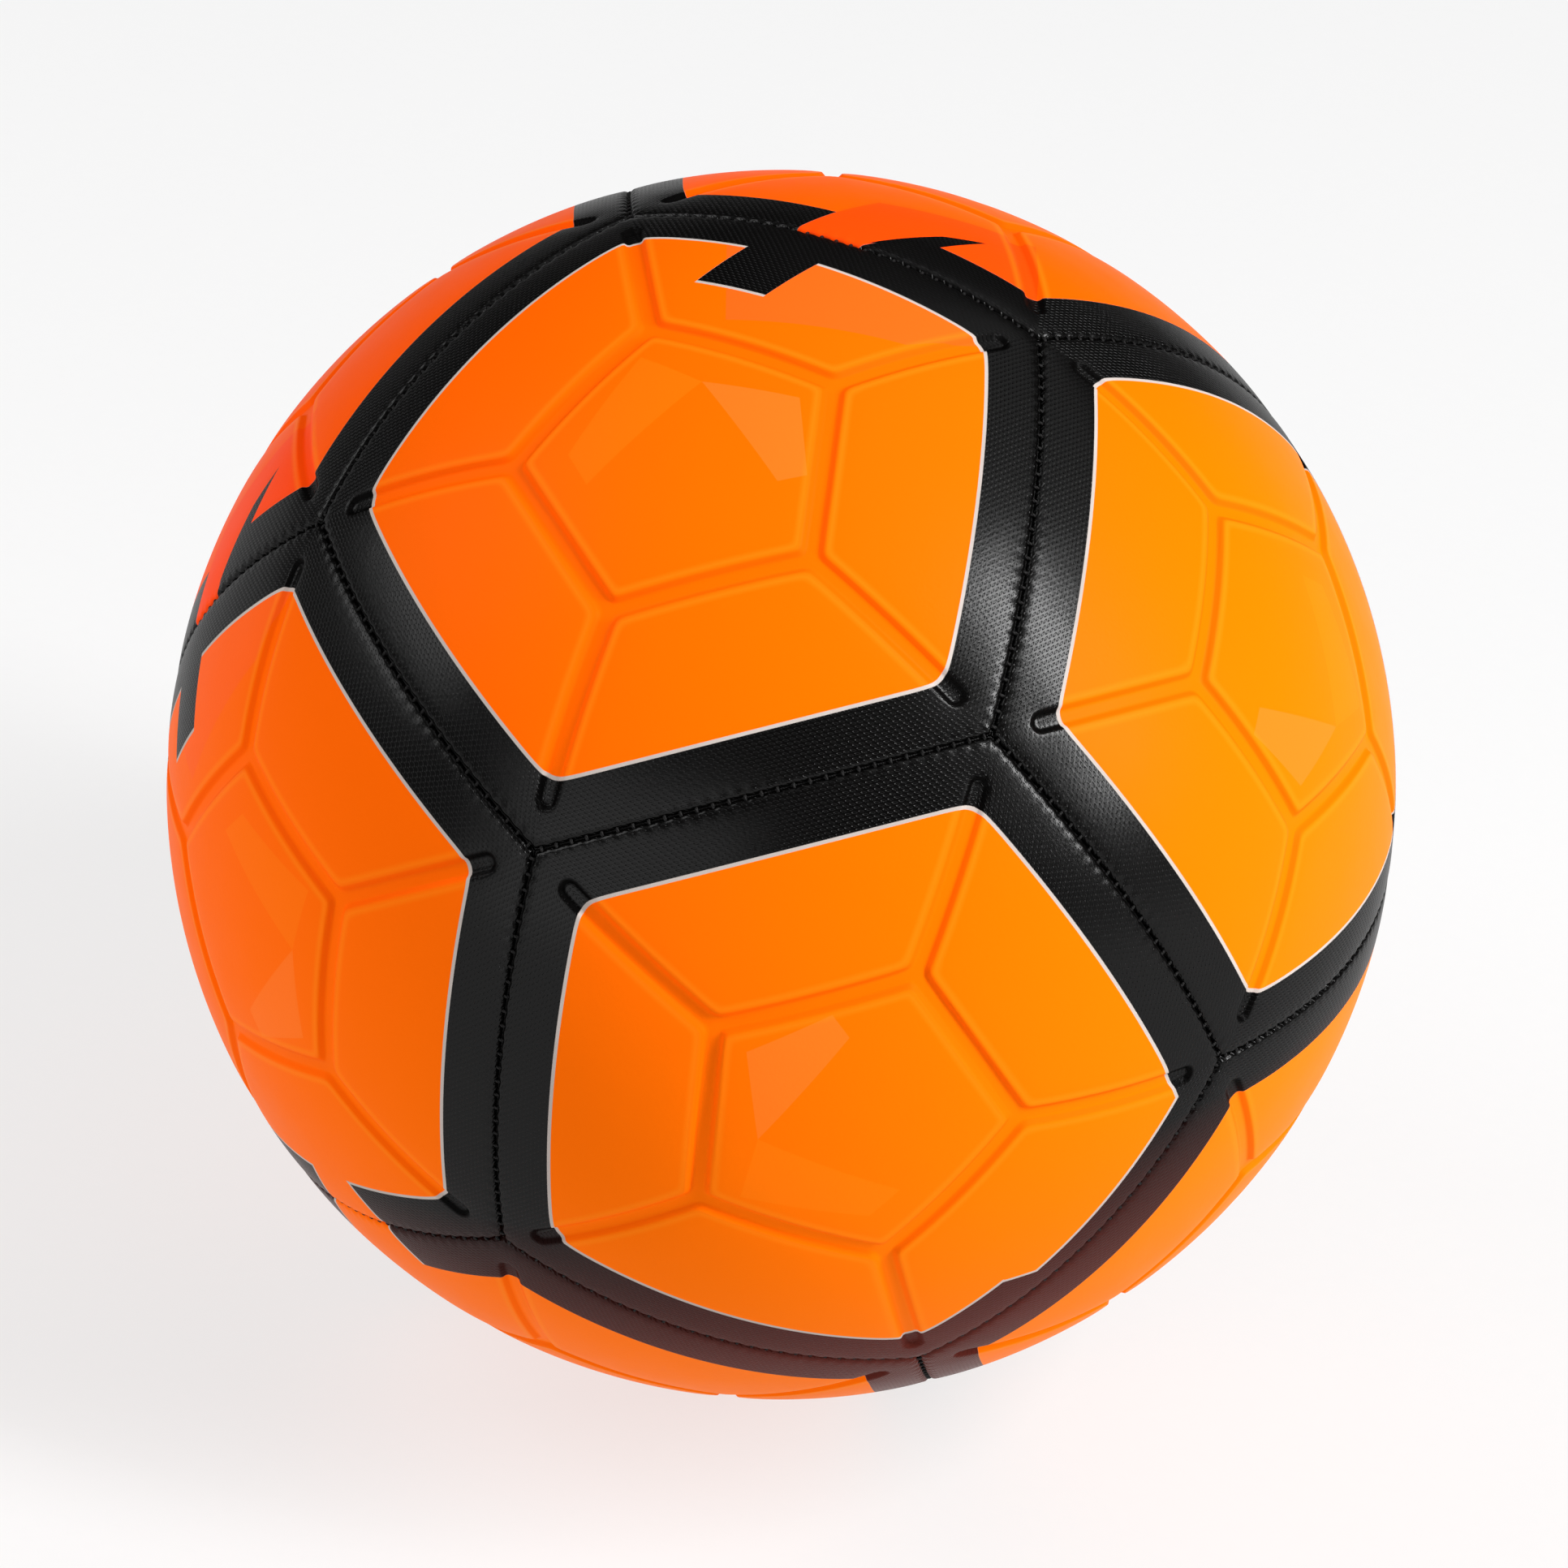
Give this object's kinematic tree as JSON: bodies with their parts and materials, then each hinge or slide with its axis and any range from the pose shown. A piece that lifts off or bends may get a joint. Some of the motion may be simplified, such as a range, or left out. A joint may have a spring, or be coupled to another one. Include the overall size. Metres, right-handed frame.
{
  "type": "soccer ball",
  "caption": "Round inflated soccer ball of five-sided panels sewn edge to edge, orange with wide black borders and moulded grooves, over foam, lining and a valved bladder.",
  "frame": {"origin": "centre of the ball", "axes": "X, Y and Z each pass through the middle of a seam; the seam on top runs along X; the valve is in the panel at -X +Y on the equator, at the back"},
  "size_m": [0.2196, 0.2196, 0.2196],
  "materials": {
    "cover": "satin moulded polyurethane skin, printed orange inside a black border, fine grain in the black",
    "foam": "soft closed-cell foam",
    "backing": "plain woven polyester and cotton lining",
    "thread": "waxed polyester thread",
    "bladder": "matt butyl rubber",
    "valve": "moulded black rubber, slightly glossy",
    "valve_core": "soft dark rubber plug"
  },
  "bodies": {
    "root": {"cover_panel_01": "cover", "cover_panel_02": "cover", "cover_panel_03": "cover", "cover_panel_04": "cover", "cover_panel_05": "cover", "cover_panel_06": "cover", "cover_panel_07": "cover", "cover_panel_08": "cover", "cover_panel_09": "cover", "cover_panel_10": "cover", "cover_panel_11": "cover", "cover_panel_12": "cover", "foam_layer_01": "foam", "foam_layer_02": "foam", "foam_layer_03": "foam", "foam_layer_04": "foam", "foam_layer_05": "foam", "foam_layer_06": "foam", "foam_layer_07": "foam", "foam_layer_08": "foam", "foam_layer_09": "foam", "foam_layer_10": "foam", "foam_layer_11": "foam", "foam_layer_12": "foam", "fabric_backing_01": "backing", "fabric_backing_02": "backing", "fabric_backing_03": "backing", "fabric_backing_04": "backing", "fabric_backing_05": "backing", "fabric_backing_06": "backing", "fabric_backing_07": "backing", "fabric_backing_08": "backing", "fabric_backing_09": "backing", "fabric_backing_10": "backing", "fabric_backing_11": "backing", "fabric_backing_12": "backing", "seam_thread_top": "thread", "seam_thread_upper": "thread", "seam_thread_middle": "thread", "seam_thread_lower": "thread", "seam_thread_bottom": "thread", "bladder": "bladder", "valve_patch": "bladder", "valve_housing": "valve", "valve_plug": "valve_core"}
  },
  "joints": []
}
